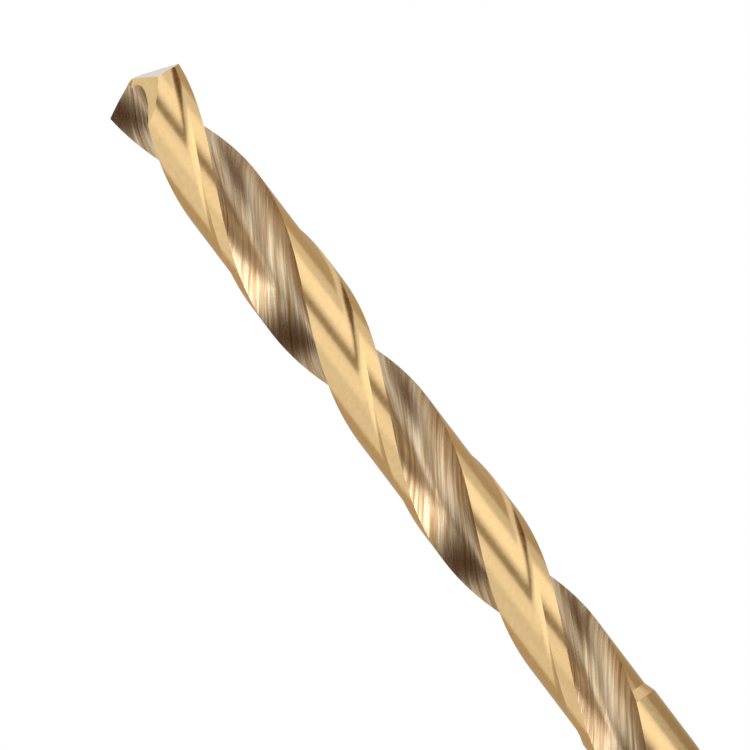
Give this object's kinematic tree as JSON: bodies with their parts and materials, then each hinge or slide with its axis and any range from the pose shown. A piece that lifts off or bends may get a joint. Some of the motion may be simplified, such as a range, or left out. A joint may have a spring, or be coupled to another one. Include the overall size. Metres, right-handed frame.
{
  "type": "twist drill bit",
  "caption": "Jobber-length twist drill bit with two right-hand helical flutes, narrow margins, a split point and a plain round shank, all one piece of ground tool steel.",
  "frame": {"origin": "centre of the flat end of the shank, on which the bit stands", "axes": "+Z along the drill's axis from the shank to the point; X is parallel to the two cutting lips, seen from the point"},
  "size_m": [0.0064, 0.0064, 0.1016],
  "materials": {
    "coated_tool_steel": "satin ground tool steel with a pale straw-gold surface coating all over"
  },
  "bodies": {
    "root": {"drill_bit": "coated_tool_steel"}
  },
  "joints": []
}
